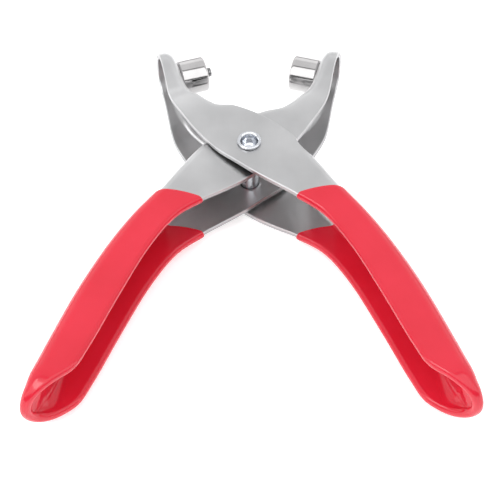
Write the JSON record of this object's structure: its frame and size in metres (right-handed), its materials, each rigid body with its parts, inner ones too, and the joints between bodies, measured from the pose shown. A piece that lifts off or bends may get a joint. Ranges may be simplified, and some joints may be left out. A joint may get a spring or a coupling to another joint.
{
  "type": "die-setting pliers",
  "caption": "Spring-opened pliers for leatherwork: pressed-steel channel arms on a tubular rivet, dipped red grips and facing plated dies, one with a sprung locating pin.",
  "frame": {"origin": "centre of the pivot rivet's foot, on the plane the tool lies on", "axes": "+Z along the pivot rivet, up from the surface the tool lies on; +Y towards the jaws; +X towards the handle of the outer arm"},
  "size_m": [0.1208, 0.1283, 0.0238],
  "materials": {
    "nickel_plate": "satin nickel plate on pressed steel",
    "chrome_plate": "polished chrome plate",
    "spring_steel": "drawn spring wire",
    "red_vinyl": "glossy dipped vinyl"
  },
  "bodies": {
    "outer": {"outer_arm": "nickel_plate", "outer_arm_grip": "red_vinyl", "pivot_rivet": "chrome_plate", "pivot_washer_upper": "nickel_plate", "pivot_washer_lower": "nickel_plate", "return_spring": "spring_steel", "pin_die": "chrome_plate", "pin_die_rivet": "nickel_plate", "pin_spring": "spring_steel"},
    "inner": {"inner_arm": "nickel_plate", "inner_arm_grip": "red_vinyl", "cup_die": "chrome_plate", "cup_die_rivet": "nickel_plate"},
    "pin": {"locating_pin": "chrome_plate"}
  },
  "joints": [
    {"name": "pivot", "type": "hinge", "parent": "outer", "child": "inner", "pos_m": [0, 0, 0], "axis": [0, 0, 1], "range_deg": [-4, 36.8], "stiffness_Nm_per_rad": 0.12, "deforming": ["return_spring"]},
    {"name": "pin_travel", "type": "slide", "parent": "outer", "child": "pin", "axis": [0.9588, 0.284, 0], "range_m": [-0.0012, 0], "stiffness_N_per_m": 600, "springref_m": 0.002, "deforming": ["pin_spring"]}
  ]
}
